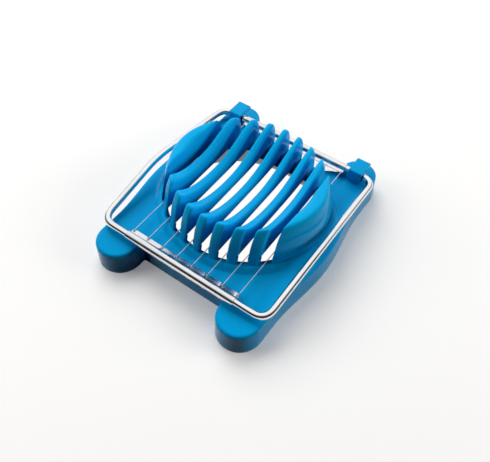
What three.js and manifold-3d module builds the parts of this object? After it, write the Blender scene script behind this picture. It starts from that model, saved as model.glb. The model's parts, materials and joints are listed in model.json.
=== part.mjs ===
// Wire egg slicer: a moulded plastic base with a slotted egg cradle, and a hinged cutting frame.
// Millimetres. +X runs along the front edge, +Y to the hinge at the back, +Z up.
// The origin is on the floor, under the middle of the slicer. The frame is modelled closed.
import * as THREE from 'three';
import { mergeVertices } from 'three/addons/utils/BufferGeometryUtils.js';
import Module from 'manifold-3d';

const wasm = await Module();
wasm.setup();

// ---------------------------------------------------------------- driving dimensions
// Cutting wires
const WIRE_COUNT = 8;
const WIRE_PITCH = 7;
const WIRE_RADIUS = 0.3;

// Frame rod: a loop of round rod, level at its front and back, with arms that rise to the middle
const ROD_RADIUS = 1.45;
const ROD_HEIGHT = 13.2;
const FRAME_HALF_WIDTH = 37.8;
const FRAME_HALF_DEPTH = 38.9;
const FRAME_CORNER = 4.6;
const ARM_RISE = 5;
const ARM_SPREAD = 1.3;
const ARM_BEND_Y = -5;
const ARM_BEND_REACH = 7;
const ROD_END_GAP = 0.3;
const ROD_SIDES = 8;
const ROD_STEPS = 150;

// Sheet-metal rails, folded round the rod at the front and at the back
const RAIL_LENGTH = 50;
const RAIL_INNER = 1.52;
const RAIL_OUTER = 1.82;
const RAIL_FLANGE = 3.6;
const FLANGE_LOW = -0.15;
const FLANGE_HIGH = 0.2;
const WIRE_END_GAP = 0.1;

// Base tray
const DECK_Z = 10.5;
const DECK_THICKNESS = 1.8;
const SIDE_WALL = 1.8;
const DRAFT = 0.5;
const EDGE_ROUND = 1.2;
const SIDE_HALF_WIDTH = 37.9;
const SIDE_BULGE = 3.3;
const SIDE_BULGE_Y = -1.5;
const SIDE_BULGE_REACH = 32;
const FRONT_SKIRT_Y = -38.1;
const REAR_SKIRT_Y = 35.5;
const FRONT_FOOT = { x: 28.7, y: -41, radius: 9.2 };
const REAR_FOOT = { x: 29.6, y: 42.2, radius: 8 };
// The deck reaches further back on the inner side of each rear foot.
const REAR_LEDGE = { y: 38.5, width: 7, steps: 6 };
const SIDE_STEPS = 14;
const ARC_SEGMENTS = 7;

// Egg cradle: an oval shell that stands on a low ring. Each row gives an oval at one height,
// by its half length along X, and its reach to the front and to the back of the cradle's centre.
const CRADLE_Y = 4.6;
const RING_FOOT = { z: DECK_Z, side: 38.6, front: 36.4, rear: 28.8 };
const RING_EDGE = 0.6;
const RING_TOP = { z: 12.2, side: 36.2, front: 34.8, rear: 28.6 };
const WELL = { side: 32.6, front: 32.2, rear: 26.5 };
const WALL_FOOT = { z: RING_TOP.z, side: 34.8, front: 33.9, rear: 28.2 };
const SHOULDER = { z: 25, side: 32.6, front: 29.4, rear: 27.6 };
const CREST = { z: 27.6, side: 31.6, front: 27.5, rear: 26.4 };
const BOWL_LOW = { y: 2.5, z: 17.5 };
const BOWL_SIDE_POWER = 2.4;
const BOWL_REAR_SWELL = 1.4;
const BOWL_FRONT_KNEE = 0.38;
const RIB_BOTTOM_Z = 16;
const LEG_THICKNESS = 1.7;
const RIB_COUNT = WIRE_COUNT - 1;
const RIB_THICKNESS = 3.6;
const BOWL_STEPS = 16;
const BOWL_EDGE_STEPS = 5;
const SCOOP_INNER = 0.72;
const ROUND_STEPS = 4;
const TURN_STEPS = 72;
const WELL_STEPS = 64;

// Hinge blocks: hooks on the rear feet that the rod snaps into from behind
const BLOCK_X = 30.2;
const BLOCK_WIDTH = 6;
const BLOCK_FRONT_Y = 36.3;
const BLOCK_BACK_Y = 45;
const BLOCK_TOP_Z = 16.3;
const BLOCK_BORE = 1.75;
const BLOCK_MOUTH = 2.4;
const BLOCK_SILL = 11.4;
const BLOCK_SILL_BACK_Y = 43.5;
const BLOCK_ROUND = 1.1;

// Cutting solids reach further than anything that they cut.
const BIG = 200;
const OVERLAP = 0.01;

// ---------------------------------------------------------------- materials
const bluePlastic = () => new THREE.MeshStandardMaterial({ color: 0x0a8ad2, roughness: 0.28, metalness: 0 });
const chrome = () => new THREE.MeshStandardMaterial({ color: 0xd7dade, roughness: 0.12, metalness: 1 });
const steelSheet = () => new THREE.MeshStandardMaterial({ color: 0xcfd2d6, roughness: 0.22, metalness: 1 });
const steelWire = () => new THREE.MeshStandardMaterial({ color: 0xb9bdc2, roughness: 0.3, metalness: 1 });

// ---------------------------------------------------------------- solids
function toSolid(geometry) {
  const bare = geometry.clone();
  bare.deleteAttribute('normal');
  bare.deleteAttribute('uv');
  const merged = mergeVertices(bare, 1e-4);
  return new wasm.Manifold(new wasm.Mesh({
    numProp: 3,
    vertProperties: Float32Array.from(merged.attributes.position.array),
    triVerts: Uint32Array.from(merged.index.array),
  }));
}

function toGeometry(solid) {
  const mesh = solid.getMesh();
  const geometry = new THREE.BufferGeometry();
  geometry.setAttribute('position', new THREE.BufferAttribute(Float32Array.from(mesh.vertProperties), 3));
  geometry.setIndex(new THREE.BufferAttribute(Uint32Array.from(mesh.triVerts), 1));
  geometry.computeVertexNormals();
  return geometry;
}

function slabFrom(corner, size) {
  const box = new THREE.BoxGeometry(size.x, size.y, size.z);
  box.translate(corner.x + size.x / 2, corner.y + size.y / 2, corner.z + size.z / 2);
  return toSolid(box);
}

// A shape drawn as (Y, Z) becomes a bar along X, centred on centreX.
function barAlongX(shape, centreX, length) {
  const bar = new THREE.ExtrudeGeometry(shape, { depth: length, bevelEnabled: false, curveSegments: 12 });
  bar.translate(0, 0, -length / 2);
  const turn = new THREE.Matrix4().makeBasis(
    new THREE.Vector3(0, 1, 0),
    new THREE.Vector3(0, 0, 1),
    new THREE.Vector3(1, 0, 0),
  );
  bar.applyMatrix4(turn);
  bar.translate(centreX, 0, 0);
  return bar;
}

// ---------------------------------------------------------------- base tray
// The sides bow outwards between the feet, as a raised cosine.
function sideHalfWidth(y) {
  const t = Math.min(1, Math.abs(y - SIDE_BULGE_Y) / SIDE_BULGE_REACH);
  return SIDE_HALF_WIDTH + SIDE_BULGE * (Math.cos(Math.PI * t) + 1) / 2;
}

// From a rear foot inwards, the edge eases from the ledge to the rear skirt, as half a cosine.
function rearEdge(from, inset) {
  const points = [];
  for (let i = 0; i <= REAR_LEDGE.steps; i += 1) {
    const t = i / REAR_LEDGE.steps;
    const ease = (1 + Math.cos(Math.PI * t)) / 2;
    const y = REAR_SKIRT_Y + (REAR_LEDGE.y - REAR_SKIRT_Y) * ease;
    points.push([from - REAR_LEDGE.width * t, y - inset]);
  }
  return points;
}

// The plan outline, anticlockwise, moved inwards by inset.
function trayOutline(inset) {
  const frontRadius = FRONT_FOOT.radius - inset;
  const rearRadius = REAR_FOOT.radius - inset;
  const shape = new THREE.Shape();
  shape.moveTo(-FRONT_FOOT.x + frontRadius, FRONT_SKIRT_Y + inset);
  shape.lineTo(FRONT_FOOT.x - frontRadius, FRONT_SKIRT_Y + inset);
  shape.absarc(FRONT_FOOT.x, FRONT_FOOT.y, frontRadius, Math.PI, 2 * Math.PI, false);
  for (let i = 0; i <= SIDE_STEPS; i += 1) {
    const y = SIDE_BULGE_Y + SIDE_BULGE_REACH * (2 * i / SIDE_STEPS - 1);
    shape.lineTo(sideHalfWidth(y) - inset, y);
  }
  shape.absarc(REAR_FOOT.x, REAR_FOOT.y, rearRadius, 0, Math.PI, false);
  rearEdge(REAR_FOOT.x - rearRadius, inset).forEach(([x, y]) => shape.lineTo(x, y));
  rearEdge(REAR_FOOT.x - rearRadius, inset).reverse().forEach(([x, y]) => shape.lineTo(-x, y));
  shape.absarc(-REAR_FOOT.x, REAR_FOOT.y, rearRadius, 0, Math.PI, false);
  for (let i = 0; i <= SIDE_STEPS; i += 1) {
    const y = SIDE_BULGE_Y - SIDE_BULGE_REACH * (2 * i / SIDE_STEPS - 1);
    shape.lineTo(-sideHalfWidth(y) + inset, y);
  }
  shape.absarc(-FRONT_FOOT.x, FRONT_FOOT.y, frontRadius, Math.PI, 2 * Math.PI, false);
  return shape;
}

// An oval with different reaches to the front and to the back.
function oval(level) {
  const points = [];
  for (let i = 0; i < WELL_STEPS; i += 1) {
    const angle = 2 * Math.PI * i / WELL_STEPS;
    const reach = Math.sin(angle) < 0 ? level.front : level.rear;
    points.push(new THREE.Vector2(level.side * Math.cos(angle), CRADLE_Y + reach * Math.sin(angle)));
  }
  return points;
}

function baseTray() {
  const sideZ = DECK_Z - EDGE_ROUND;
  const sides = toSolid(new THREE.ExtrudeGeometry(trayOutline(DRAFT), {
    depth: OVERLAP, bevelThickness: sideZ, bevelSize: DRAFT, bevelSegments: 1, curveSegments: ARC_SEGMENTS,
  }));
  const edgeGeometry = new THREE.ExtrudeGeometry(trayOutline(DRAFT + EDGE_ROUND), {
    depth: OVERLAP,
    bevelThickness: EDGE_ROUND,
    bevelSize: EDGE_ROUND,
    bevelSegments: 3,
    curveSegments: ARC_SEGMENTS,
  });
  edgeGeometry.translate(0, 0, sideZ - OVERLAP);
  const cavityGeometry = new THREE.ExtrudeGeometry(trayOutline(DRAFT / 2 + SIDE_WALL), {
    depth: BIG, bevelEnabled: false, curveSegments: ARC_SEGMENTS,
  });
  cavityGeometry.translate(0, 0, DECK_Z - DECK_THICKNESS - BIG);
  const wellShape = new THREE.Shape(oval(WELL));
  const wellGeometry = new THREE.ExtrudeGeometry(wellShape, { depth: BIG, bevelEnabled: false });
  wellGeometry.translate(0, 0, -BIG / 2);
  const aboveFloor = slabFrom({ x: -BIG / 2, y: -BIG / 2, z: 0 }, { x: BIG, y: BIG, z: BIG });
  const tray = sides
    .intersect(aboveFloor)
    .add(toSolid(edgeGeometry))
    .subtract(toSolid(cavityGeometry))
    .subtract(toSolid(wellGeometry));
  return toGeometry(tray);
}

// ---------------------------------------------------------------- cradle
// Low ring with a sloping outer face, round the open well.
function cradleRing() {
  const rise = RING_TOP.z - RING_FOOT.z;
  const profile = [
    new THREE.Vector2(RING_FOOT.side, 0),
    new THREE.Vector2(RING_FOOT.side, RING_EDGE),
    new THREE.Vector2(RING_TOP.side, rise),
    new THREE.Vector2(WELL.side, rise),
    new THREE.Vector2(WELL.side, 0),
    new THREE.Vector2(RING_FOOT.side, 0),
  ];
  const levels = [RING_FOOT, RING_FOOT, RING_TOP, WELL, WELL, RING_FOOT];
  return ringOf(profile, levels, RING_FOOT.z);
}

// Turns a closed profile, then stretches each of its points to the oval that its level names.
function ringOf(profile, levels, baseZ) {
  const lathe = new THREE.LatheGeometry(profile, TURN_STEPS);
  const position = lathe.attributes.position;
  const rows = profile.length;
  for (let i = 0; i < position.count; i += 1) {
    const level = levels[i % rows];
    const x = position.getX(i);
    const y = -position.getZ(i);
    const reach = y < 0 ? level.front : level.rear;
    position.setXYZ(i, x, CRADLE_Y + y * reach / level.side, baseZ + profile[i % rows].y);
  }
  return lathe;
}

// The section of the shell wall, from its foot up over the rounded crest: one oval per row.
function wallLevels() {
  const levels = [WALL_FOOT, blend(WALL_FOOT, SHOULDER, 0.5), SHOULDER];
  for (let i = 1; i <= ROUND_STEPS; i += 1) {
    const angle = Math.PI / 2 * i / ROUND_STEPS;
    const level = blend(SHOULDER, CREST, 1 - Math.cos(angle));
    level.z = SHOULDER.z + (CREST.z - SHOULDER.z) * Math.sin(angle);
    levels.push(level);
  }
  return levels;
}

function blend(from, to, t) {
  const mix = (key) => from[key] + (to[key] - from[key]) * t;
  return { z: mix('z'), side: mix('side'), front: mix('front'), rear: mix('rear') };
}

// Where an oval crosses the plane at x, at the front (-1) or at the back (+1).
function crossing(level, x, end) {
  const reach = end < 0 ? level.front : level.rear;
  return CRADLE_Y + end * reach * Math.sqrt(1 - (x / level.side) ** 2);
}

// Height of the egg bowl. Its floor rises to the sides. Along each rib it climbs late and steeply
// to the front knee, and sooner and more gently to the rear tip.
function bowlHeight(x, y) {
  const sideways = Math.min(1, Math.abs(x) / CREST.side) ** BOWL_SIDE_POWER;
  const floor = BOWL_LOW.z + (CREST.z - BOWL_LOW.z) * sideways;
  const end = y < BOWL_LOW.y ? -1 : 1;
  const t = Math.min(1, (y - BOWL_LOW.y) / (crossing(CREST, x, end) - BOWL_LOW.y));
  const frontClimb = (1 - BOWL_FRONT_KNEE) * t ** 2 + BOWL_FRONT_KNEE * t ** 5;
  const climb = end < 0 ? frontClimb : t ** 2 * (1 + BOWL_REAR_SWELL * t * (1 - t));
  return floor + (CREST.z - floor) * climb;
}

// A rib is a slab across the cradle: two legs on the ring, a flat underside and a bowl-shaped top.
function cradleRib(x) {
  const levels = wallLevels();
  const shape = new THREE.Shape();
  const frontLeg = crossing(WALL_FOOT, x, -1);
  const rearLeg = crossing(WALL_FOOT, x, 1);
  shape.moveTo(rearLeg - LEG_THICKNESS, WALL_FOOT.z);
  levels.forEach((level) => shape.lineTo(crossing(level, x, 1), level.z));
  const from = crossing(CREST, x, 1);
  const to = crossing(CREST, x, -1);
  for (let i = 1; i < BOWL_STEPS; i += 1) {
    const y = from + (to - from) * i / BOWL_STEPS;
    shape.lineTo(y, bowlHeight(x, y));
  }
  levels.reverse().forEach((level) => shape.lineTo(crossing(level, x, -1), level.z));
  shape.lineTo(frontLeg + LEG_THICKNESS, WALL_FOOT.z);
  shape.lineTo(frontLeg + LEG_THICKNESS, RIB_BOTTOM_Z);
  shape.lineTo(rearLeg - LEG_THICKNESS, RIB_BOTTOM_Z);
  return barAlongX(shape, x, RIB_THICKNESS);
}

// The shell's closed end: the part of the turned wall beyond the last slot.
function endScoop(side) {
  const inner = SCOOP_INNER * CREST.side;
  const profile = [];
  const levels = [];
  const addPoint = (radius, level, z) => {
    profile.push(new THREE.Vector2(radius, z));
    levels.push(level);
  };
  wallLevels().forEach((level) => addPoint(level.side, level, level.z));
  for (let i = 1; i <= BOWL_EDGE_STEPS; i += 1) {
    const radius = CREST.side + (inner - CREST.side) * i / BOWL_EDGE_STEPS;
    addPoint(radius, CREST, bowlHeight(radius, BOWL_LOW.y));
  }
  addPoint(inner, CREST, RIB_BOTTOM_Z);
  addPoint(WALL_FOOT.side - LEG_THICKNESS, WALL_FOOT, RIB_BOTTOM_Z);
  addPoint(WALL_FOOT.side - LEG_THICKNESS, WALL_FOOT, WALL_FOOT.z);
  addPoint(WALL_FOOT.side, WALL_FOOT, WALL_FOOT.z);
  const turned = toSolid(ringOf(profile, levels, 0));
  const lastSlot = WIRE_PITCH * (WIRE_COUNT - 1) / 2 + (WIRE_PITCH - RIB_THICKNESS) / 2;
  const beyond = slabFrom(
    { x: side < 0 ? -BIG : lastSlot, y: -BIG / 2, z: 0 },
    { x: BIG - (side < 0 ? lastSlot : 0), y: BIG, z: BIG },
  );
  return toGeometry(turned.intersect(beyond));
}

// ---------------------------------------------------------------- hinge blocks
// A hook: front wall and top tab, with a round seat for the rod and a mouth to the back.
function hingeBlock(x) {
  const y = FRAME_HALF_DEPTH;
  const z = ROD_HEIGHT;
  const half = BLOCK_MOUTH / 2;
  const angle = Math.asin(half / BLOCK_BORE);
  const shape = new THREE.Shape();
  shape.moveTo(BLOCK_FRONT_Y, DECK_Z);
  shape.lineTo(BLOCK_SILL_BACK_Y, DECK_Z);
  shape.lineTo(BLOCK_SILL_BACK_Y, BLOCK_SILL);
  shape.lineTo(y + BLOCK_BORE * Math.cos(angle) + 1, z - half);
  shape.absarc(y, z, BLOCK_BORE, -angle, angle, true);
  shape.lineTo(BLOCK_BACK_Y, z + half);
  shape.absarc(BLOCK_BACK_Y - BLOCK_ROUND, BLOCK_TOP_Z - BLOCK_ROUND, BLOCK_ROUND, 0, Math.PI / 2, false);
  shape.lineTo(BLOCK_FRONT_Y + BLOCK_ROUND / 2, BLOCK_TOP_Z);
  shape.lineTo(BLOCK_FRONT_Y, BLOCK_TOP_Z - BLOCK_ROUND / 2);
  return barAlongX(shape, x, BLOCK_WIDTH);
}

// ---------------------------------------------------------------- cutting frame
// Straight runs joined by rounded bends: each bend starts and ends at its reach from the corner.
function bentPath(corners) {
  const path = new THREE.CurvePath();
  let start = corners[0].at;
  for (let i = 1; i < corners.length - 1; i += 1) {
    const { at, reach } = corners[i];
    const enter = at.clone().add(corners[i - 1].at.clone().sub(at).setLength(reach));
    const leave = at.clone().add(corners[i + 1].at.clone().sub(at).setLength(reach));
    path.add(new THREE.LineCurve3(start, enter));
    path.add(new THREE.QuadraticBezierCurve3(enter, at, leave));
    start = leave;
  }
  path.add(new THREE.LineCurve3(start, corners[corners.length - 1].at));
  return path;
}

// One rod, bent round to a loop. Its two ends meet inside the front rail.
function frameRod() {
  const w = FRAME_HALF_WIDTH;
  const d = FRAME_HALF_DEPTH;
  const h = ROD_HEIGHT;
  const bend = (x, y, z, reach) => ({ at: new THREE.Vector3(x, y, z), reach });
  const path = bentPath([
    bend(ROD_END_GAP / 2, -d, h, 0),
    bend(w, -d, h, FRAME_CORNER),
    bend(w + ARM_SPREAD, ARM_BEND_Y, h + ARM_RISE, ARM_BEND_REACH),
    bend(w, d, h, FRAME_CORNER),
    bend(-w, d, h, FRAME_CORNER),
    bend(-w - ARM_SPREAD, ARM_BEND_Y, h + ARM_RISE, ARM_BEND_REACH),
    bend(-w, -d, h, FRAME_CORNER),
    bend(-ROD_END_GAP / 2, -d, h, 0),
  ]);
  const section = new THREE.Shape();
  for (let i = 0; i < ROD_SIDES; i += 1) {
    const angle = 2 * Math.PI * (i + 0.5) / ROD_SIDES;
    const point = [ROD_RADIUS * Math.cos(angle), ROD_RADIUS * Math.sin(angle)];
    if (i === 0) section.moveTo(...point);
    else section.lineTo(...point);
  }
  return new THREE.ExtrudeGeometry(section, { steps: ROD_STEPS, extrudePath: path, bevelEnabled: false });
}

// Sheet metal folded round the rod, with a flange that points into the frame. end: -1 front, +1 back.
function wireRail(end) {
  const wrapStart = Math.asin(FLANGE_HIGH / RAIL_OUTER);
  const wrapEnd = 5 * Math.PI / 3;
  const lipStart = Math.asin(FLANGE_LOW / RAIL_INNER);
  const shape = new THREE.Shape();
  shape.moveTo(RAIL_FLANGE, FLANGE_LOW);
  shape.lineTo(RAIL_FLANGE, FLANGE_HIGH);
  shape.absarc(0, 0, RAIL_OUTER, wrapStart, wrapEnd, false);
  shape.absarc(0, 0, RAIL_INNER, wrapEnd, lipStart, true);
  const rail = barAlongX(shape, 0, RAIL_LENGTH);
  if (end > 0) rail.rotateZ(Math.PI);
  rail.translate(0, end * FRAME_HALF_DEPTH, ROD_HEIGHT);
  return rail;
}

function cuttingWire(x) {
  const length = 2 * (FRAME_HALF_DEPTH - RAIL_FLANGE - WIRE_END_GAP);
  const wire = new THREE.CylinderGeometry(WIRE_RADIUS, WIRE_RADIUS, length, 6);
  wire.translate(x, 0, ROD_HEIGHT);
  return wire;
}

// ---------------------------------------------------------------- assembly
const eggSlicer = new THREE.Group();
const base = new THREE.Group();
const cuttingFrame = new THREE.Group();
eggSlicer.add(base, cuttingFrame);

function put(group, name, geometry, material) {
  const mesh = new THREE.Mesh(geometry, material);
  mesh.name = name;
  group.add(mesh);
}

put(base, 'base_tray', baseTray(), bluePlastic());
put(base, 'cradle_ring', cradleRing(), bluePlastic());
for (let i = 0; i < RIB_COUNT; i += 1) {
  const x = WIRE_PITCH * (i - (RIB_COUNT - 1) / 2);
  put(base, `cradle_rib_${i + 1}`, cradleRib(x), bluePlastic());
}
put(base, 'end_scoop_left', endScoop(-1), bluePlastic());
put(base, 'end_scoop_right', endScoop(1), bluePlastic());
put(base, 'hinge_block_left', hingeBlock(-BLOCK_X), bluePlastic());
put(base, 'hinge_block_right', hingeBlock(BLOCK_X), bluePlastic());

put(cuttingFrame, 'frame_rod', frameRod(), chrome());
put(cuttingFrame, 'front_wire_rail', wireRail(-1), steelSheet());
put(cuttingFrame, 'rear_wire_rail', wireRail(1), steelSheet());
for (let i = 0; i < WIRE_COUNT; i += 1) {
  const x = WIRE_PITCH * (i - (WIRE_COUNT - 1) / 2);
  put(cuttingFrame, `cutting_wire_${i + 1}`, cuttingWire(x), steelWire());
}

export default eggSlicer;
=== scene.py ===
# %% [markdown]
# # A wire egg slicer
#
# The real thing is a blue plastic moulding with a slotted cradle for the egg, and a chromed wire frame
# that swings over it. Eight thin wires run across the frame and pass between the cradle's ribs.
# This lesson builds what shows around a fixed frame of plain solids. Every length is in millimetres
# until it goes into a mesh, where it becomes metres.

# %% Load the fixed frame
import json
import math

import bmesh
import bpy
import numpy as np
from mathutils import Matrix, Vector


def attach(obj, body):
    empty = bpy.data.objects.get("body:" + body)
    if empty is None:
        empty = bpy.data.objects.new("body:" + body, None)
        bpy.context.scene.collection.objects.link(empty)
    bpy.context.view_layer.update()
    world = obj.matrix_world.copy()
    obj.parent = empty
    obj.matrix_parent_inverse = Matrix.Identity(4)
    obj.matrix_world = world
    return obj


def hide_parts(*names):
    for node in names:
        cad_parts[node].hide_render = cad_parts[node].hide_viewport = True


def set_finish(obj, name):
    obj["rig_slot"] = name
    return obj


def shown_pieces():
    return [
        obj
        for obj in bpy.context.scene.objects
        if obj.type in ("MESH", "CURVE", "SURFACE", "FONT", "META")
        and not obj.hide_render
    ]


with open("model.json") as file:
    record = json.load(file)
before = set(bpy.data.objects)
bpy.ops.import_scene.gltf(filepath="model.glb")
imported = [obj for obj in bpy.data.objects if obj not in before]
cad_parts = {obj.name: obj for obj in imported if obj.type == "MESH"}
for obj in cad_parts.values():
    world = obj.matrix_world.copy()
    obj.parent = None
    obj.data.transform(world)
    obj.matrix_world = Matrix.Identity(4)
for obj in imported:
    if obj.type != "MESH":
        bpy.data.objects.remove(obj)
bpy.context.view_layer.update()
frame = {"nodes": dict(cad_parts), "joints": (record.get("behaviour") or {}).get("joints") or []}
MM = 0.001
hinge = frame["joints"][0]
print("nodes:", len(frame["nodes"]), "hinge at", hinge["pos_m"])

# %% [markdown]
# ## From a grid of points to a skin
#
# Nearly every piece here is a surface with two parameters: how far along, and how far round.
# If its points are worked out as one array, with rows and columns, the faces are always the same
# pattern of neighbours. So one helper makes all the meshes. It could also be done by hand with
# primitives and edit tools, but a formula is easier to correct when a size is wrong.


# %% Skin a grid
def grid_faces(rows, columns, wrap_rows, wrap_columns):
    """Four neighbours make a face: (i, j), (i, j+1), (i+1, j+1), (i+1, j).

    A wrapped direction joins its last row or column to the first.
    """
    i = np.arange(rows if wrap_rows else rows - 1)[:, None]
    j = np.arange(columns if wrap_columns else columns - 1)[None, :]
    down, right = (i + 1) % rows, (j + 1) % columns
    corners = (i * columns + j, i * columns + right, down * columns + right, down * columns + j)
    return np.stack(np.broadcast_arrays(*corners), -1).reshape(-1, 4)


def skin(name, grid, wrap_rows=False, wrap_columns=True, capped=True, sharp_degrees=38):
    """A closed mesh from grid[row, column] in mm, with flat caps on the first and last row.

    If the volume that it encloses comes out negative, the grid was walked inside out, so its faces
    are reversed.
    """
    rows, columns = grid.shape[:2]
    points = grid.reshape(-1, 3) * MM
    faces = grid_faces(rows, columns, wrap_rows, wrap_columns)
    a, b, c, d = (points[faces[:, k]] for k in range(4))
    volume = (a * np.cross(b, c)).sum() + (a * np.cross(c, d)).sum()
    polygons = faces.tolist()
    if capped and not wrap_rows:
        polygons.append(list(range(columns))[::-1])
        polygons.append(list(range((rows - 1) * columns, rows * columns)))
    if volume < 0:
        polygons = [face[::-1] for face in polygons]
    mesh = bpy.data.meshes.new(name)
    mesh.from_pydata(points.tolist(), [], polygons)
    mesh.update()
    mesh.polygons.foreach_set("use_smooth", np.ones(len(mesh.polygons), bool))
    mesh.set_sharp_from_angle(angle=math.radians(sharp_degrees))
    piece = bpy.data.objects.new(name, mesh)
    bpy.context.scene.collection.objects.link(piece)
    return piece


def weld(piece, distance=1e-6):
    """Merges points that lie on one another, so that a pole is one point."""
    work = bmesh.new()
    work.from_mesh(piece.data)
    bmesh.ops.remove_doubles(work, verts=work.verts, dist=distance)
    work.to_mesh(piece.data)
    work.free()
    return piece


# %% [markdown]
# ## Walking a curve
#
# Moulded plastic and bent rod have no dead sharp corners. Instead of drawing every small radius,
# a rough line is walked in even steps, and each point is then averaged with its neighbours.
# The wider the averaging, the rounder the corners; the straights stay straight.


# %% Even steps and soft corners
def walk(points, count, closed=True):
    """count points at even distances along a polyline."""
    line = np.vstack([points, points[:1]]) if closed else np.asarray(points, float)
    distance = np.r_[0, np.cumsum(np.linalg.norm(np.diff(line, axis=0), axis=1))]
    stops = np.linspace(0, distance[-1], count, endpoint=not closed)
    return np.stack([np.interp(stops, distance, line[:, k]) for k in range(line.shape[1])], -1)


def soften(points, spread, closed=True):
    """Each point becomes the average of its neighbours, weighted by a bell curve spread steps wide."""
    reach = int(math.ceil(3 * spread))
    weights = np.exp(-0.5 * (np.arange(-reach, reach + 1) / spread) ** 2)
    weights /= weights.sum()
    if closed:
        padded = np.concatenate([points[-reach:], points, points[:reach]])
    else:
        first = 2 * points[:1] - points[reach:0:-1]
        last = 2 * points[-1:] - points[-2 : -reach - 2 : -1]
        padded = np.concatenate([first, points, last])
    return sum(w * padded[k : k + len(points)] for k, w in enumerate(weights))


def arc(x, y, radius, start, end, count=48):
    """Points on a circle from one angle to another, in degrees."""
    a = np.radians(np.linspace(start, end, count))
    return np.stack([x + radius * np.cos(a), y + radius * np.sin(a)], -1)


# %% [markdown]
# ## The tray
#
# The base is a low, hollow tray. Seen from above, its sides bow outwards, and it ends in four round
# feet, two in front and two behind. The walls lean in a little so that the part leaves its mould.
# One closed section is carried round this outline: up the outside, over the soft edge, across the
# deck, over the ring that the cradle stands on, down into the open well, and back underneath.

# %% The outline from above
FRONT_FOOT = (28.7, -41.0, 9.2)
REAR_FOOT = (29.6, 42.2, 8.0)
FRONT_SKIRT, REAR_SKIRT = -38.1, 35.5
LEDGE_Y, LEDGE_WIDTH = 38.5, 7.0
SIDE_BULGE, BULGE_Y, BULGE_REACH, SIDE_HALF = 3.25, -1.5, 32.0, 37.9


def side_half_width(y):
    """Half the tray's width: a straight side plus a raised cosine that fades out towards the feet."""
    t = np.clip(np.abs(y - BULGE_Y) / BULGE_REACH, 0, 1)
    return SIDE_HALF + SIDE_BULGE * (np.cos(np.pi * t) + 1) / 2


OUTLINE_POINTS, OUTLINE_SOFT = 1040, 1.5


def tray_outline():
    """The right half from the middle of the front to the middle of the back, then its mirror image.

    Between a rear foot and the middle, the edge eases from the ledge to the skirt as half a cosine.
    """
    side_y = np.linspace(FRONT_FOOT[1], REAR_FOOT[1], 80)
    t = np.linspace(0, 1, 12)
    ledge = np.stack([REAR_FOOT[0] - REAR_FOOT[2] - LEDGE_WIDTH * t,
                      REAR_SKIRT + (LEDGE_Y - REAR_SKIRT) * (1 + np.cos(np.pi * t)) / 2], -1)
    half = np.vstack([
        [[0, FRONT_SKIRT], [FRONT_FOOT[0] - FRONT_FOOT[2], FRONT_SKIRT]],
        arc(*FRONT_FOOT, 180, 360),
        np.stack([side_half_width(side_y), side_y], -1),
        arc(*REAR_FOOT, 0, 180),
        ledge,
        [[0, REAR_SKIRT]],
    ])
    whole = np.vstack([half, half[-2:0:-1] * (-1, 1)])
    return soften(walk(whole, OUTLINE_POINTS), OUTLINE_SOFT)


outline = tray_outline()
along = np.roll(outline, -1, axis=0) - np.roll(outline, 1, axis=0)
along /= np.linalg.norm(along, axis=1, keepdims=True)
inward = np.stack([-along[:, 1], along[:, 0]], -1)
print("tray outline:", np.ptp(outline, axis=0).round(1), "mm")

# %% The cradle's ovals
CRADLE_Y = 4.6
DECK_Z, DECK_THICK, WALL_THICK = 10.5, 1.8, 1.8
WELL = (32.6, 32.2, 26.5)


def on_oval(reaches, angle):
    """A point on an oval round the cradle's centre: cosine times side, sine times front or rear."""
    side, front, rear = (np.asarray(r, float) for r in reaches)
    s = np.sin(angle)
    return side * np.cos(angle), CRADLE_Y + s * np.where(s < 0, front, rear)


# %% The tray's section, carried round
DRAFT, EDGE_ROUND, LIP_ROUND = 0.5, 1.3, 0.25
NECK_FRONT, NECK_REAR, NECK_REACH = -35.1, 33.05, 5.0


def level(offset, z):
    """The outline, moved inwards by offset, at height z."""
    return np.c_[outline + inward * offset, np.full(len(outline), z)]


def neck_line(z):
    """The outline with its feet cut off straight, so that it can be joined to an oval without folds."""
    x, y, _ = level(DRAFT + EDGE_ROUND, z).T
    ends = ((-1, FRONT_FOOT, FRONT_SKIRT, NECK_FRONT), (1, REAR_FOOT, REAR_SKIRT, NECK_REAR))
    for end, foot, skirt, neck in ends:
        beyond = (y - skirt) * end > 0
        turn = np.arctan2(np.abs(y - skirt), (np.abs(x) - foot[0])) / np.pi
        inner = foot[0] - foot[2] + DRAFT + EDGE_ROUND
        outer = side_half_width(skirt) - DRAFT - EDGE_ROUND
        spread = inner + (outer - inner) * (1 - np.clip(turn, 0, 1))
        x = np.where(beyond & (np.abs(x) >= inner), np.sign(x) * spread, x)
        start = skirt - NECK_REACH * end
        near = ((y - start) * end > 0) & ~beyond & (np.abs(x) > foot[0])
        y = np.where(near, start + (y - start) * (neck - start) / (skirt - start), y)
        y = np.where(beyond | ((y - neck) * end > 0), neck, y)
    return np.c_[x, y, np.full(len(x), z)]


# The ring's own section: an oval's reach to the side, front and rear, and its height over the deck.
RING = [
    (38.7, 36.7, 28.3, 0), (38.4, 36.4, 28.2, 0.08), (38.0, 36.1, 28.15, 0.4), (37.3, 35.5, 28.05, 1.0),
    (36.7, 35.0, 27.95, 1.5), (36.2, 34.6, 27.85, 1.75), (35.6, 34.2, 27.75, 1.85),
    (34.6, 33.6, 27.4, 1.85), (33.1, 32.7, 26.9, 1.85), (32.8, 32.4, 26.7, 1.75),
    (32.63, 32.23, 26.53, 1.55), (*WELL, 1.3),
]
# The ovals' angles are measured as if these were their reaches, which spreads the points evenly.
EVEN_SIDE, EVEN_FRONT, EVEN_REAR = 38.6, 36.0, 28.0
SLOT_LIP = (32.8, 32.4, 26.7)
UNDER_ROUND = 0.4


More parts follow.
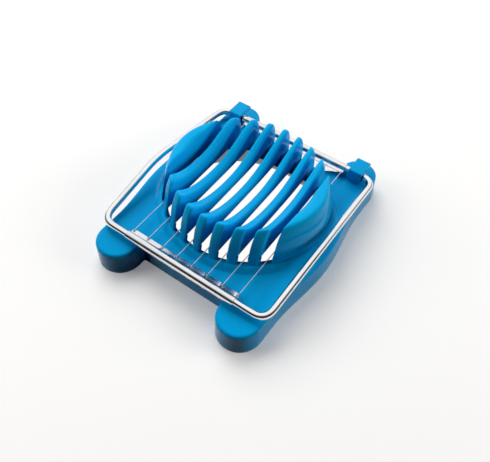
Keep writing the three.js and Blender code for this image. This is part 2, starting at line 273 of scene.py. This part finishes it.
def lean(z):
    """How far the wall has drawn in at height z, in proportion to the height."""
    return DRAFT * z / (DECK_Z - EDGE_ROUND)


def tray_grid():
    """Rows of one closed section, each a loop at one height."""
    rows = [level(WALL_THICK, 0), level(LIP_ROUND, 0)]
    rows += [level(LIP_ROUND * 0.3, LIP_ROUND * 0.3), level(0.02, LIP_ROUND)]
    rows += [level(lean(z), z) for z in np.linspace(1, DECK_Z - EDGE_ROUND - 0.3, 5)]
    for a in np.radians(np.linspace(0, 90, 9)):
        rows.append(level(DRAFT + EDGE_ROUND * (1 - np.cos(a)), DECK_Z - EDGE_ROUND * (1 - np.sin(a))))
    deck = neck_line(DECK_Z)
    rows.append(deck)
    reach = np.where(deck[:, 1] < CRADLE_Y, EVEN_FRONT, EVEN_REAR)
    angle = np.arctan2((deck[:, 1] - CRADLE_Y) / reach, deck[:, 0] / EVEN_SIDE)

    def oval_row(side, front, rear, z):
        return np.c_[(*on_oval((side, front, rear), angle), np.full(len(angle), z))]

    foot = oval_row(*RING[0][:3], DECK_Z)
    rows += [deck + (foot - deck) * t for t in (0.35, 0.7)]
    rows += [oval_row(side, front, rear, DECK_Z + up) for side, front, rear, up in RING]
    under = DECK_Z - DECK_THICK
    rows += [oval_row(*WELL, under + 0.2), oval_row(*SLOT_LIP, under)]
    inner_foot, inner_neck = rows[-1], neck_line(under)
    rows += [inner_foot + (inner_neck - inner_foot) * t for t in (0.5, 1.0)]
    inside = WALL_THICK + lean(under)
    rows += [level(inside + UNDER_ROUND, under), level(inside, under - UNDER_ROUND)]
    return np.stack(rows)


moulded_base = skin("moulded_base", tray_grid(), wrap_rows=True)
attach(moulded_base, "base")
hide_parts("base_tray", "cradle_ring")
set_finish(moulded_base, "blue_plastic")
print("base faces:", len(moulded_base.data.polygons))

# %% [markdown]
# ## The cradle's shape
#
# Ribs and end scoops are slices of one body: an oval dome with a bowl scooped out of its top. They could
# be modelled one by one, but if each slice takes its outside from the same stack of ovals, the wall runs
# on smoothly from rib to rib, as it does on a moulding. The bowl is a line over each rib, and a drop
# inside the rim of each scoop.

# %% The dome
# Height, then the oval's reach to the side, the front and the rear.
DOME = np.array([
    (11.6, 34.9, 34.2, 28.3), (13.6, 34.7, 33.9, 28.2), (16.4, 34.3, 33.0, 28.1), (20.6, 33.7, 31.8, 27.9),
    (22.9, 33.3, 30.9, 27.8), (24.6, 32.9, 29.8, 27.6), (26.1, 32.4, 28.7, 27.2), (27.3, 31.6, 27.6, 26.5),
])
RIM_Z, RIM = DOME[-1, 0], DOME[-1, 1:]
fine = np.linspace(0, len(DOME) - 1, 60)
stack = [np.interp(fine, np.arange(len(DOME)), column) for column in DOME.T]
WALL = soften(np.stack(stack, -1), 6, closed=False)
BOWL_Y, BOWL_Z, BOWL_SIDE_POWER = 2.5, 17.5, 2.4
FRONT_SQUARE, FRONT_FIFTH, REAR_SWELL = 0.62, 0.38, 1.4
UNDERSIDE_Z, LEG = 16.0, 1.6


def dome_y(reaches, x, end):
    """Where an oval crosses the plane at x: end is -1 for the front crossing and 1 for the rear one."""
    side, front, rear = reaches
    return CRADLE_Y + end * (front if end < 0 else rear) * np.sqrt(1 - (x / side) ** 2)


# %% One rib
RIB_HALF, EDGE_SOFT, LINE_SOFT = 1.85, 1.25, 2.3
UNDER_EDGE, UNDER_SOFT = 0.4, 0.8
TIP_TAPER, TAPER_FROM, TAPER_REACH = 0.3, 6.0, 20.0
FLOOR_LIFT, KNEE_LIFT, TIP_LIFT = 0.6, 0.35, 0.55
WIRE_PITCH = 7.0
RIB_STATIONS = 190


def rib_top(x):
    """The line over a rib in the plane at x: up the front wall, through the bowl, down the rear wall.

    In the bowl it climbs to the front as 0.62 t^2 + 0.38 t^5, and to the rear as
    t^2 (1 + 1.4 t (1 - t)), where t runs from 0 at the lowest point to 1 at the tip.
    """
    front = [(dome_y(d[1:], x, -1), d[0]) for d in DOME[:-1]]
    front.append((dome_y(RIM, x, -1), RIM_Z + KNEE_LIFT))
    rear = [(dome_y(d[1:], x, 1), d[0]) for d in DOME[-2::-1]]
    y = np.linspace(front[-1][0], dome_y(RIM, x, 1), 61)[1:]
    ahead = y < BOWL_Y
    t = np.where(ahead, (BOWL_Y - y) / (BOWL_Y - front[-1][0]), (y - BOWL_Y) / (y[-1] - BOWL_Y))
    to_knee = FRONT_SQUARE * t**2 + FRONT_FIFTH * t**5
    climb = np.where(ahead, to_knee, t**2 * (1 + REAR_SWELL * t * (1 - t)))
    floor = FLOOR_LIFT + BOWL_Z + (RIM_Z - BOWL_Z) * np.abs(x / RIM[0]) ** BOWL_SIDE_POWER
    crest = RIM_Z + np.where(ahead, KNEE_LIFT, TIP_LIFT)
    z = floor + np.maximum(crest - floor, 0) * climb
    rough = np.vstack([front, np.stack([y, z], -1), rear])
    return soften(walk(rough, RIB_STATIONS, closed=False), LINE_SOFT, closed=False)


def rib_under(x, top):
    """The line under a rib, point for point with the line over it: up a leg, straight back, down a leg."""
    front = dome_y(DOME[0, 1:], x, -1) + LEG
    rear = dome_y(DOME[0, 1:], x, 1) - LEG
    in_leg = top[:, 1] < UNDERSIDE_Z
    share = (top[:, 0] - top[~in_leg][0, 0]) / (top[~in_leg][-1, 0] - top[~in_leg][0, 0])
    y = front + (rear - front) * np.clip(share, 0, 1)
    z = np.where(in_leg, top[:, 1], UNDERSIDE_Z)
    return soften(np.stack([y, z], -1), UNDER_SOFT, closed=False)


def section_loop(half, top_round, under_round, steps=6):
    """A rounded rectangle: how far across each point is, and its depth below the top line.

    For the points that is_low marks, the second number is the height over the underside instead.
    """
    a = np.linspace(0, np.pi / 2, steps + 1)
    across = np.concatenate([np.linspace(-half + top_round, half - top_round, 4)[:-1],
                             half - top_round * (1 - np.sin(a))])
    depth = np.concatenate([np.zeros(3), top_round * (1 - np.cos(a))])
    low_across = np.concatenate([half - under_round * (1 - np.cos(a)), [0]])
    low_height = np.concatenate([under_round * (1 - np.sin(a)), [0]])
    x = np.concatenate([across, low_across, -low_across[-2::-1], -across[:2:-1]])
    d = np.concatenate([depth, low_height, low_height[-2::-1], depth[:2:-1]])
    is_low = np.concatenate([np.zeros(len(across), bool), np.ones(2 * len(low_across) - 1, bool),
                             np.zeros(len(across) - 3, bool)])
    return x, d, is_low


def rib_grid(centre):
    """Each point of the section takes its own slice of the dome, so the top leans where the bowl does.

    Towards the rear tip the rib gets thinner by the square of the distance.
    """
    across, depth, is_low = section_loop(RIB_HALF, EDGE_SOFT, UNDER_EDGE)
    columns = []
    for shift, inset, low in zip(across, depth, is_low):
        top = rib_top(centre + shift)
        under = rib_under(centre + shift, top)
        height = np.linalg.norm(under - top, axis=1, keepdims=True)
        share = 1 - inset / height if low else inset / height
        yz = top + (under - top) * share
        taper = 1 - TIP_TAPER * np.clip((top[:, 0] - TAPER_FROM) / TAPER_REACH, 0, 1) ** 2
        columns.append(np.c_[centre + shift * taper, yz])
    return np.stack(columns, 1)


ribs = []
for number in range(1, 8):
    rib = skin(f"rib_{number}", rib_grid(WIRE_PITCH * (number - 4)))
    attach(rib, "base")
    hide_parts(f"cradle_rib_{number}")
    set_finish(rib, "blue_plastic")
    ribs.append(rib)
print("ribs:", len(ribs), "with", len(ribs[0].data.polygons), "faces each")

# %% [markdown]
# ## The end scoops
#
# Beyond the last slot at each end the dome is left whole. A radial cut through it is a closed loop: up
# the outer wall, over the broad rim, down into the bowl to the flat face beside the slot, down that
# face, and back under. The loops shrink to a point where the flat face leaves the wall.

# %% One scoop
SLOT_FACE = 26.2
SCOOP_SECTIONS, SCOOP_POINTS = 121, 190
RIM_INNER, BOWL_INNER, RIM_FALL, BOWL_DROP = 0.89, 0.80, 0.4, 2.6
SCOOP_SOFT = 4.0


def scoop_loop(angle):
    """The radial section at one angle round the oval, cut off at the slot's flat face.

    The rim is a broad band that falls a little, and inside it the bowl drops as half a cosine.
    """
    z = np.concatenate([WALL[:, 0], np.zeros(24)])
    wall = np.stack(on_oval(WALL[:, 1:].T, angle), -1)
    shrink = np.linspace(1, BOWL_INNER, 25)[1:, None]
    rim = np.stack(on_oval(RIM, angle), -1)
    bowl = (rim - (0, CRADLE_Y)) * shrink + (0, CRADLE_Y)
    drop = np.clip((RIM_INNER - shrink[:, 0]) / (RIM_INNER - BOWL_INNER), 0, 1)
    fall = RIM_FALL * (1 - shrink[:, 0]) / (1 - BOWL_INNER)
    z[len(WALL):] = RIM_Z - fall - BOWL_DROP * (1 - np.cos(np.pi * drop)) / 2
    line = np.c_[np.vstack([wall, bowl]), z]
    kept = line[line[:, 0] > SLOT_FACE]
    after = min(len(kept), len(line) - 1)
    a, b = line[max(after - 1, 0)], line[after]
    share = np.clip((a[0] - SLOT_FACE) / max(a[0] - b[0], 1e-9), 0, 1)
    cut = a + (b - a) * share
    cut[0] = SLOT_FACE
    low = DOME[0, 0]
    roof = min(UNDERSIDE_Z, cut[2])
    inner_reach = DOME[0, 1:] - LEG
    inner = np.array(on_oval(inner_reach, angle))
    if inner[0] < SLOT_FACE:
        inner = np.array([SLOT_FACE, CRADLE_Y + (wall[0, 1] - CRADLE_Y) * SLOT_FACE / wall[0, 0]])
    corners = [(SLOT_FACE, cut[1], roof), (*inner, roof), (*inner, low)]
    return np.vstack([kept, cut, corners]) if len(kept) else np.repeat(cut[None], 4, 0)


def scoop_grid(side):
    """All sections between the two ends of the flat face, each walked in even steps and softened."""
    last = math.acos(SLOT_FACE / DOME[0, 1]) * 0.9999
    turn = np.sin(np.linspace(-np.pi / 2, np.pi / 2, SCOOP_SECTIONS)) * last
    loops = [soften(walk(scoop_loop(a), SCOOP_POINTS), SCOOP_SOFT) for a in turn]
    return np.stack(loops) * (side, 1, 1)


for side, word in ((-1, "left"), (1, "right")):
    scoop = weld(skin(f"scoop_{word}", scoop_grid(side)))
    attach(scoop, "base")
    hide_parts(f"end_scoop_{word}")
    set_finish(scoop, "blue_plastic")
print("scoop faces:", len(scoop.data.polygons))

# %% [markdown]
# ## The hinge hooks
#
# Each rear foot carries a small hook. Its front wall stands in front of the rod, its flat tab reaches
# back over it, and the mouth at the back is a little narrower than the rod, so the rod snaps in and
# turns there. The hook is a flat profile with width, and its edges are rolled over by a small radius.

# %% Two hooks
ROD_Y, ROD_Z = hinge["pos_m"][1] / MM, hinge["pos_m"][2] / MM
HOOK_X, HOOK_HALF, SEAT, MOUTH_HALF = 30.2, 3.0, 1.72, 1.2
HOOK_FRONT, HOOK_BACK, HOOK_FOOT, HOOK_TOP = 36.3, 45.0, 10.2, 16.3
HOOK_EDGE = 0.35


def hook_profile():
    """The outline of the hook in the plane of Y and Z, with its round seat open to the back."""
    mouth = math.degrees(math.asin(MOUTH_HALF / SEAT))
    seat = arc(ROD_Y, ROD_Z, SEAT, 360 - mouth, mouth, 30)
    rough = np.vstack([
        [[HOOK_FRONT, HOOK_FOOT], [43.5, HOOK_FOOT], [43.5, 11.3], [41.2, ROD_Z - MOUTH_HALF]],
        seat,
        [[HOOK_BACK, ROD_Z + MOUTH_HALF]],
        arc(HOOK_BACK - 1, HOOK_TOP - 1, 1.0, 0, 90, 8),
        [[HOOK_FRONT + 0.2, HOOK_TOP]],
    ])
    return soften(walk(rough, 220), 1.6)


def roll_over(profile, half, radius, steps=5):
    """The profile carried across. Near each side it shrinks inwards along a quarter circle."""
    step = np.roll(profile, -1, axis=0) - np.roll(profile, 1, axis=0)
    step /= np.linalg.norm(step, axis=1, keepdims=True)
    following = np.roll(profile, -1, axis=0)
    clockwise = np.sign(np.sum(profile[:, 0] * following[:, 1] - profile[:, 1] * following[:, 0]))
    inner = np.stack([-step[:, 1], step[:, 0]], -1) * clockwise
    a = np.linspace(0, np.pi / 2, steps + 1)
    x = np.concatenate([-half + radius * (1 - np.cos(a)), (half - radius * (1 - np.cos(a)))[::-1]])
    inset = np.concatenate([radius * (1 - np.sin(a)), (radius * (1 - np.sin(a)))[::-1]])
    yz = profile[None] + inner[None] * inset[:, None, None]
    return np.concatenate([np.broadcast_to(x[:, None, None], (*yz.shape[:2], 1)), yz], -1)


for side, word in ((-1, "left"), (1, "right")):
    hook_points = roll_over(hook_profile(), HOOK_HALF, HOOK_EDGE) + (side * HOOK_X, 0, 0)
    hook = skin(f"hook_{word}", hook_points)
    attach(hook, "base")
    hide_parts(f"hinge_block_{word}")
    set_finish(hook, "blue_plastic")

# %% [markdown]
# ## The frame rod
#
# One chromed rod is bent to a loop. Its front and back runs are level, and its arms rise and spread
# a little towards the middle, which keeps them clear of the cradle when the frame lies flat. The two
# ends of the rod meet inside the front rail, where they don't show.

# %% Bend the rod
ROD_RADIUS = 1.42
FRAME_W, FRAME_D = 37.8, ROD_Y
ARM_Y, ARM_RISE, ARM_SPREAD = -5.0, 5.0, 1.3
END_GAP_HALF, CORNER_REACH, ARM_REACH = 0.15, 5.2, 7.0


def bend(corners, reaches, steps=24):
    """Straight runs joined by curves: near each corner the line follows a parabola to the next run."""
    line = [corners[0]]
    for before, at, after, reach in zip(corners[:-2], corners[1:-1], corners[2:], reaches):
        enter = at + (before - at) / np.linalg.norm(before - at) * reach
        leave = at + (after - at) / np.linalg.norm(after - at) * reach
        t = np.linspace(0, 1, steps)[:, None]
        line.extend((1 - t) ** 2 * enter + 2 * t * (1 - t) * at + t**2 * leave)
    line.append(corners[-1])
    return np.array(line)


def tube(path, radius, sides=20):
    """A round section carried along a path that never stands upright: centre plus radius times
    the cosine along a level axis and the sine along the axis square to it.
    """
    forward = np.gradient(path, axis=0)
    forward /= np.linalg.norm(forward, axis=1, keepdims=True)
    level_axis = np.cross(forward, (0, 0, 1))
    level_axis /= np.linalg.norm(level_axis, axis=1, keepdims=True)
    upper = np.cross(level_axis, forward)
    a = np.linspace(0, 2 * np.pi, sides, endpoint=False)[None, :, None]
    radius = np.broadcast_to(np.asarray(radius, float), len(path))[:, None, None]
    return path[:, None] + radius * (np.cos(a) * level_axis[:, None] + np.sin(a) * upper[:, None])


turns = np.array([
    (END_GAP_HALF, -FRAME_D, ROD_Z), (FRAME_W, -FRAME_D, ROD_Z),
    (FRAME_W + ARM_SPREAD, ARM_Y, ROD_Z + ARM_RISE),
    (FRAME_W, FRAME_D, ROD_Z), (-FRAME_W, FRAME_D, ROD_Z), (-FRAME_W - ARM_SPREAD, ARM_Y, ROD_Z + ARM_RISE),
    (-FRAME_W, -FRAME_D, ROD_Z), (-END_GAP_HALF, -FRAME_D, ROD_Z),
])
reaches = (CORNER_REACH, ARM_REACH, CORNER_REACH) * 2
rod_path = soften(walk(bend(turns, reaches), 620, closed=False), 1.5, closed=False)
rod = skin("rod_loop", tube(rod_path, ROD_RADIUS))
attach(rod, "cutting_frame")
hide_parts("frame_rod")
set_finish(rod, "chromed_rod")
print("rod length:", round(float(np.linalg.norm(np.diff(rod_path, axis=0), axis=1).sum())), "mm")

# %% [markdown]
# ## The wire rails
#
# A strip of sheet metal is folded round the rod at the front and at the back. Its flange points into
# the frame and grips the wires: it is pressed down a little at each wire. The other edge is cut into
# small round tabs that stand out under the rod.

# %% Fold the rails
RAIL_HALF, SHEET, FLANGE_SLOPE, FLANGE_Z = 25.0, 0.28, 0.26, 0.30
FRONT_REACH, REAR_REACH = 3.75, 2.95
WRAP_START, WRAP_END, WRAP_MORE = 8, 222, 26
PRESS_WIDTH, PRESS_DEPTH, PRESS_IN = 0.55, 0.16, 0.12
TAB_SHIFT, TAB_WIDTH, TAB_FLARE = 1.2, 1.5, 0.75
WIRE_X = WIRE_PITCH * (np.arange(8) - 3.5)


def rail_grid(end):
    """At each x: along the flange, round the rod to the lip, and back on the inside.

    Bell curves at each wire press the flange down and swell the lip into tabs.
    """
    x = np.linspace(-RAIL_HALF, RAIL_HALF, 601)
    from_wire = x[:, None] - WIRE_X[None]
    near = np.exp(-((from_wire / PRESS_WIDTH) ** 2)).sum(1)
    tab = np.clip(np.exp(-(((from_wire - TAB_SHIFT) / TAB_WIDTH) ** 2)).sum(1), 0, 1)
    outer = ROD_RADIUS + 0.08 + SHEET
    start, stop = math.radians(WRAP_START), np.radians(WRAP_END + WRAP_MORE * tab)
    turn = start + (stop - start)[:, None] * np.linspace(0, 1, 40)[None]
    flare = TAB_FLARE * tab[:, None] * np.clip((turn - np.radians(205)) / np.radians(40), 0, 1) ** 1.5
    radius = outer + flare
    wrap = np.stack([radius * np.cos(turn), radius * np.sin(turn)], -1)
    bore = radius - SHEET
    lining = np.stack([bore * np.cos(turn), bore * np.sin(turn)], -1)[:, ::-1]
    reach = np.linspace(1, 0.6, 7)[None, :] * (FRONT_REACH if end < 0 else REAR_REACH)
    reach = reach - PRESS_IN * near[:, None] * np.linspace(1, 0, 7)[None]
    press = -PRESS_DEPTH * near[:, None] * np.linspace(1, 0.2, 7)[None]
    slope = FLANGE_SLOPE * (reach - ROD_RADIUS)
    flange_top = np.stack([reach, FLANGE_Z - slope + press], -1)
    flange_low = np.stack([reach, FLANGE_Z - SHEET - slope + press], -1)[:, ::-1]
    profile = np.concatenate([flange_top, wrap, lining, flange_low], 1)
    y = end * (ROD_Y - profile[..., 0])
    z = ROD_Z + profile[..., 1]
    return np.stack([np.broadcast_to(x[:, None], y.shape), y, z], -1)


for end, word in ((-1, "front"), (1, "rear")):
    rail = skin(f"rail_{word}", rail_grid(end), sharp_degrees=50)
    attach(rail, "cutting_frame")
    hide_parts(f"{word}_wire_rail")
    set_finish(rail, "sheet_steel")
print("rail faces:", len(rail.data.polygons))

# %% [markdown]
# ## The cutting wires
#
# Eight thin steel wires are stretched from rail to rail. Each one rises slightly onto the flange that
# grips it, and ends there in a small crimped bead.

# %% Stretch the wires
WIRE_RADIUS = 0.17
WIRE_END, GRIP_FROM, BEAD_AT = ROD_Y - 2.75, ROD_Y - 3.8, ROD_Y - 3.1
BEAD_SWELL, BEAD_WIDTH, GRIP_RISE, WIRE_LIFT = 0.22, 0.22, 0.22, 0.02
for number, x in enumerate(WIRE_X, start=1):
    y = np.linspace(-1, 1, 161)
    y = np.sign(y) * np.abs(y) ** 0.8 * WIRE_END
    grip = np.clip(np.abs(y) - GRIP_FROM, 0, 1)
    bead = np.exp(-(((np.abs(y) - BEAD_AT) / BEAD_WIDTH) ** 2))
    path = np.stack([np.full_like(y, x), y, ROD_Z + WIRE_LIFT + GRIP_RISE * grip], -1)
    wire = skin(f"wire_{number}", tube(path, WIRE_RADIUS + BEAD_SWELL * bead, sides=12))
    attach(wire, "cutting_frame")
    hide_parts(f"cutting_wire_{number}")
    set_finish(wire, "steel_wire")
print("wires:", len(WIRE_X), "of", round(2 * WIRE_END, 1), "mm")

# %% [markdown]
# ## Finishes
#
# A finish is a small network of nodes. For each one the fixed numbers sit on the shader itself, and
# only what varies over the surface is wired in: a noise that shifts the colour, one that varies the
# polish, and a bump for the fine relief. All of them read object coordinates, so the pattern stays
# on the piece when the frame swings.


# %% Node helpers
class Finish:
    """One material and short words for the nodes that this object's finishes need."""

    def __init__(self, name, **shader):
        self.material = bpy.data.materials.new(name)
        self.material.use_nodes = True
        self.nodes, self.links = self.material.node_tree.nodes, self.material.node_tree.links
        self.shader = self.nodes["Principled BSDF"]
        self.place = self.nodes.new("ShaderNodeTexCoord").outputs["Object"]
        for socket, value in shader.items():
            self.shader.inputs[socket.replace("_", " ")].default_value = value

    def stretch(self, scale):
        node = self.nodes.new("ShaderNodeMapping")
        node.inputs["Scale"].default_value = scale
        self.links.new(self.place, node.inputs["Vector"])
        return node.outputs["Vector"]

    def noise(self, per_metre, detail=3.0, roughness=0.5, vector=None):
        node = self.nodes.new("ShaderNodeTexNoise")
        node.inputs["Scale"].default_value = per_metre
        node.inputs["Detail"].default_value = detail
        node.inputs["Roughness"].default_value = roughness
        self.links.new(vector or self.place, node.inputs["Vector"])
        return node.outputs["Fac"]

    def ramp(self, value, low, high, start=0.35, end=0.65):
        node = self.nodes.new("ShaderNodeMapRange")
        for socket, number in (("From Min", start), ("From Max", end), ("To Min", low), ("To Max", high)):
            node.inputs[socket].default_value = number
        self.links.new(value, node.inputs["Value"])
        return node.outputs["Result"]

    def colours(self, value, first, second, start=0.35, end=0.65):
        node = self.nodes.new("ShaderNodeValToRGB")
        node.color_ramp.elements[0].position, node.color_ramp.elements[1].position = start, end
        node.color_ramp.elements[0].color, node.color_ramp.elements[1].color = (*first, 1), (*second, 1)
        self.links.new(value, node.inputs["Fac"])
        return node.outputs["Color"]

    def bump(self, value, height_mm, strength=1.0, under=None):
        node = self.nodes.new("ShaderNodeBump")
        node.inputs["Strength"].default_value = strength
        node.inputs["Distance"].default_value = height_mm * MM
        self.links.new(value, node.inputs["Height"])
        if under is not None:
            self.links.new(under, node.inputs["Normal"])
        return node.outputs["Normal"]

    def height(self, low_mm, high_mm):
        """0 below one height, 1 above the other."""
        split = self.nodes.new("ShaderNodeSeparateXYZ")
        self.links.new(self.place, split.inputs[0])
        return self.ramp(split.outputs["Z"], 0, 1, low_mm * MM, high_mm * MM)

    def blend(self, share, first, second):
        node = self.nodes.new("ShaderNodeMix")
        node.data_type = "RGBA"
        self.links.new(share, node.inputs["Factor"])
        self.links.new(first, node.inputs[6])
        self.links.new(second, node.inputs[7])
        return node.outputs[2]

    def wire(self, **outputs):
        for socket, output in outputs.items():
            self.links.new(output, self.shader.inputs[socket.replace("_", " ")])
        return self.material


# %% [markdown]
# ### Blue plastic
#
# The moulding is glossy blue polystyrene, coloured through. Up close it isn't a perfect mirror: the
# mould leaves a slight ripple, handling dulls the polish in patches, and fine scratches run along it.
# Higher up, from 14 to 26.5 mm, the blue is painted lighter: painted light on the rib tops and rims, which
# face the light.

# %% Mix the blue plastic
plastic = Finish("blue_plastic", IOR=1.45, Specular_IOR_Level=0.2, Specular_Tint=(0.04, 0.6, 1.0, 1))
cloud = plastic.noise(45, 4)
# Two blues blended by height: the lower one is the plastic's own, the upper one is painted light on the
# tops.
lower_blue = plastic.colours(cloud, (0.0006, 0.31, 0.65), (0.0010, 0.345, 0.72), 0.3, 0.7)
painted_light_blue = plastic.colours(cloud, (0.0030, 0.43, 0.84), (0.0045, 0.46, 0.90), 0.3, 0.7)
blue = plastic.blend(plastic.height(14, 26.5), lower_blue, painted_light_blue)
polish = plastic.ramp(plastic.noise(110, 5, 0.6), 0.05, 0.12)
ripple = plastic.bump(plastic.noise(150, 2), 0.02, 0.12)
scratch = plastic.bump(plastic.noise(900, 6, 0.7, plastic.stretch((9, 1, 1))), 0.003, 0.12, ripple)
blue_plastic = plastic.wire(Base_Color=blue, Roughness=polish, Normal=scratch)

# %% [markdown]
# ### Chrome, sheet steel and drawn wire
#
# The rod is plated and nearly a mirror, with faint drawing lines along it. The rails are rolled sheet,
# a little duller. The wires are drawn steel, too thin to show more than a soft sheen.

# %% Plate and brush the metals
plating = Finish("chrome_plate", Metallic=1.0, IOR=2.4)
chrome_tint = plating.colours(plating.noise(70, 3), (0.80, 0.81, 0.83), (0.90, 0.90, 0.91), 0.3, 0.7)
chrome_polish = plating.ramp(plating.noise(160, 5, 0.6), 0.05, 0.14)
drawn = plating.bump(plating.noise(300, 3, 0.6, plating.stretch((1, 0.2, 1))), 0.003, 0.1)
chrome_plate = plating.wire(Base_Color=chrome_tint, Roughness=chrome_polish, Normal=drawn)

rolled = Finish("rolled_sheet", Metallic=1.0)
sheet_tint = rolled.colours(rolled.noise(90, 4), (0.74, 0.75, 0.77), (0.86, 0.86, 0.87), 0.3, 0.7)
sheet_polish = rolled.ramp(rolled.noise(300, 5, 0.6, rolled.stretch((0.2, 3, 3))), 0.10, 0.24)
rolling = rolled.bump(rolled.noise(400, 3, 0.6, rolled.stretch((0.1, 1, 1))), 0.001, 0.1)
rolled_sheet = rolled.wire(Base_Color=sheet_tint, Roughness=sheet_polish, Normal=rolling)

strand = Finish("drawn_wire", Metallic=1.0)
wire_tint = strand.colours(strand.noise(400, 3), (0.72, 0.73, 0.75), (0.82, 0.83, 0.84), 0.3, 0.7)
wire_polish = strand.ramp(strand.noise(500, 4), 0.34, 0.46)
drawing = strand.bump(strand.noise(800, 3, 0.6, strand.stretch((1, 0.1, 1))), 0.002, 0.05)
drawn_wire = strand.wire(Base_Color=wire_tint, Roughness=wire_polish, Normal=drawing)

finish_of = {"blue_plastic": blue_plastic, "chromed_rod": chrome_plate,
             "sheet_steel": rolled_sheet, "steel_wire": drawn_wire}
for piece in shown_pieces():
    piece.data.materials.clear()
    piece.data.materials.append(finish_of[piece["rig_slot"]])

# %% [markdown]
# ## The stage
#
# The slicer stands on a plain white floor in a soft studio light: a broad light high on the left and
# behind, which makes the tops of the ribs bright and leaves the faces towards the front right dark.
# Polished metal shows its surroundings more than its own colour, so the sky has a bright part and a
# dark part, which give the rod its white top and its dark line.

# %% Floor and lights
GLOW_Z, CARD_Z, FLOOR_HALF = 0.3, 0.15, 3000


def glow_sheet():
    """An oval of white light on the floor under the open well.

    Only the camera sees it, so the slots look as clear as the floor around, and it lights nothing.
    """
    x, y = on_oval(WELL, np.linspace(0, 2 * np.pi, 96, endpoint=False))
    rows = [np.c_[x * k, CRADLE_Y + (y - CRADLE_Y) * k, np.full(len(x), GLOW_Z)] for k in (1.04, 0.01)]
    sheet = skin("glow_sheet", np.stack(rows), capped=False)
    glow = Finish("white_glow", Base_Color=(0, 0, 0, 1), Emission_Color=(1, 1, 1, 1), Emission_Strength=1.0)
    sheet.data.materials.append(glow.material)
    sheet.visible_diffuse = sheet.visible_glossy = sheet.visible_shadow = False


def reflected_shade_card():
    """A black card under and behind the slicer.

    Only reflections see it: it is painted shade, standing in for the shaded floor under the slicer, and
    keeps the lit floor out of the ribs' polished sides.
    """
    wide = outline * (0.94, 1.12) + (0, 8)
    rows = [np.c_[wide * k, np.full(len(outline), CARD_Z)] for k in (1, 0.01)]
    card = skin("reflected_shade_card", np.stack(rows), capped=False)
    black = Finish("reflected_shade_black", Base_Color=(0, 0, 0, 1), Specular_IOR_Level=0.0)
    card.data.materials.append(black.material)
    card.visible_camera = card.visible_diffuse = card.visible_shadow = False


glow_sheet()
reflected_shade_card()
edges = (-FLOOR_HALF, FLOOR_HALF)
floor_grid = np.array([[(x, y, 0.0) for x in edges] for y in edges], float)
floor = skin("floor", floor_grid, wrap_columns=False, capped=False)
floor.visible_diffuse = False
paper = Finish("white_paper", Base_Color=(0.84, 0.83, 0.82, 1), Roughness=0.9,
               Emission_Color=(1, 1, 1, 1), Emission_Strength=0.18)
floor.data.materials.append(paper.wire(Normal=paper.bump(paper.noise(40, 3), 0.02, 0.2)))


def soft_light(name, place, size, power):
    """A square light of size mm that looks at the middle of the slicer."""
    lamp = bpy.data.lights.new(name, "AREA")
    lamp.shape, lamp.size, lamp.energy = "SQUARE", size * MM, power
    holder = bpy.data.objects.new(name, lamp)
    bpy.context.scene.collection.objects.link(holder)
    spot = np.array(place, float) * MM
    holder.location = spot
    holder.visible_glossy = False
    holder.rotation_mode = "QUATERNION"
    holder.rotation_quaternion = Vector(np.array((0, 0, 0.01)) - spot).to_track_quat("-Z", "Y")
    return holder


soft_light("key_light", (-560, 420, 850), 900, 11)
soft_light("side_light", (620, 330, 260), 420, 3.2)
soft_light("fill_light", (-500, -300, 420), 420, 2.0)


def studio_sky(brightest, darkest, towards, fade_from, fade_to):
    """A sky that only reflections see, and that looks plain white behind the slicer.

    The dot product of a direction and the brightest one, through a soft step, gives the strength.
    """
    world = bpy.data.worlds.new("studio")
    world.use_nodes = True
    nodes, links = world.node_tree.nodes, world.node_tree.links
    lean = nodes.new("ShaderNodeVectorMath")
    lean.operation = "DOT_PRODUCT"
    lean.inputs[1].default_value = towards
    links.new(nodes.new("ShaderNodeTexCoord").outputs["Generated"], lean.inputs[0])
    fade = nodes.new("ShaderNodeMapRange")
    fade.interpolation_type = "SMOOTHSTEP"
    steps = (("From Min", fade_from), ("From Max", fade_to), ("To Min", darkest), ("To Max", brightest))
    for socket, value in steps:
        fade.inputs[socket].default_value = value
    links.new(lean.outputs["Value"], fade.inputs["Value"])
    nodes["Background"].inputs["Color"].default_value = (1, 1, 1, 1)
    plain = nodes.new("ShaderNodeMath")
    plain.operation = "MAXIMUM"
    links.new(fade.outputs["Result"], plain.inputs[0])
    links.new(nodes.new("ShaderNodeLightPath").outputs["Is Camera Ray"], plain.inputs[1])
    links.new(plain.outputs["Value"], nodes["Background"].inputs["Strength"])
    world.cycles_visibility.diffuse = False
    bpy.context.scene.world = world


studio_sky(1.05, 0.03, towards=(-0.25, 0.50, 0.83), fade_from=0.30, fade_to=0.85)

# %% [markdown]
# ## The camera
#
# The camera looks down from the front right. Its place and its two angles are enough: the lens is a
# little longer than normal, so the front foot is only slightly larger than the rear one.

# %% Set up the camera
AZIMUTH, ELEVATION = math.radians(35.603), math.radians(53.063)
camera = bpy.data.cameras.new("camera")
camera.lens, camera.sensor_width, camera.sensor_fit = 42.434, 36.0, "HORIZONTAL"
camera.clip_start, camera.clip_end = 0.01, 10
view = bpy.data.objects.new("camera", camera)
bpy.context.scene.collection.objects.link(view)
bpy.context.scene.camera = view
view.location = np.array((86.77, -118.88, 188.61)) * MM
view.rotation_mode = "XYZ"
view.rotation_euler = (math.pi / 2 - ELEVATION, 0, AZIMUTH)
bpy.context.scene.view_settings.view_transform = "Standard"
